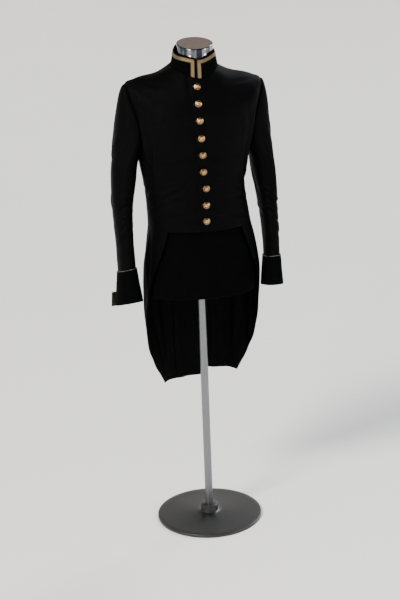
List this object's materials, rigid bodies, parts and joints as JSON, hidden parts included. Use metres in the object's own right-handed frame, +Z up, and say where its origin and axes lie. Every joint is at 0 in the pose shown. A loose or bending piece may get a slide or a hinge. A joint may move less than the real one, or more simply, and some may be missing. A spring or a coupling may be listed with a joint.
{
  "type": "coatee on a dress form",
  "caption": "Black cutaway coatee with gold lace, gilt buttons and tails, buttoned up on a limbless dress form with a pole and a round base.",
  "frame": {"origin": "centre of the base's underside, on the floor", "axes": "+Z up, -Y the way the coat's front faces, +X to the wearer's left"},
  "size_m": [0.5408, 0.34, 1.565],
  "materials": {
    "black_broadcloth": "fulled wool broadcloth, matt",
    "black_velvet": "cut pile velvet",
    "gold_lace": "woven gold metal lace, soft sheen",
    "gilt_brass": "polished gilt",
    "grey_lining": "plain woven, matt",
    "black_jersey": "stretched knit cover, matt",
    "chrome": "polished plate",
    "brushed_steel": "brushed tube",
    "black_paint": "satin paint"
  },
  "bodies": {
    "root": {"front_left": "black_broadcloth", "front_right": "black_broadcloth", "side_body_left": "black_broadcloth", "side_body_right": "black_broadcloth", "back_left": "black_broadcloth", "back_right": "black_broadcloth", "skirt_left": "black_broadcloth", "skirt_right": "black_broadcloth", "sleeve_top_left": "black_broadcloth", "sleeve_under_left": "black_broadcloth", "sleeve_top_right": "black_broadcloth", "sleeve_under_right": "black_broadcloth", "cuff_left": "black_velvet", "cuff_right": "black_velvet", "collar": "black_velvet", "collar_lace_left": "gold_lace", "collar_lace_right": "gold_lace", "cuff_lace_left": "gold_lace", "cuff_lace_right": "gold_lace", "button_front_1": "gilt_brass", "button_front_2": "gilt_brass", "button_front_3": "gilt_brass", "button_front_4": "gilt_brass", "button_front_5": "gilt_brass", "button_front_6": "gilt_brass", "button_front_7": "gilt_brass", "button_front_8": "gilt_brass", "button_front_9": "gilt_brass", "button_hip_left": "gilt_brass", "button_hip_right": "gilt_brass", "cuff_tab_right": "grey_lining", "form_torso": "black_jersey", "form_neck_cap": "chrome", "form_pole": "brushed_steel", "form_base": "black_paint"}
  },
  "joints": []
}
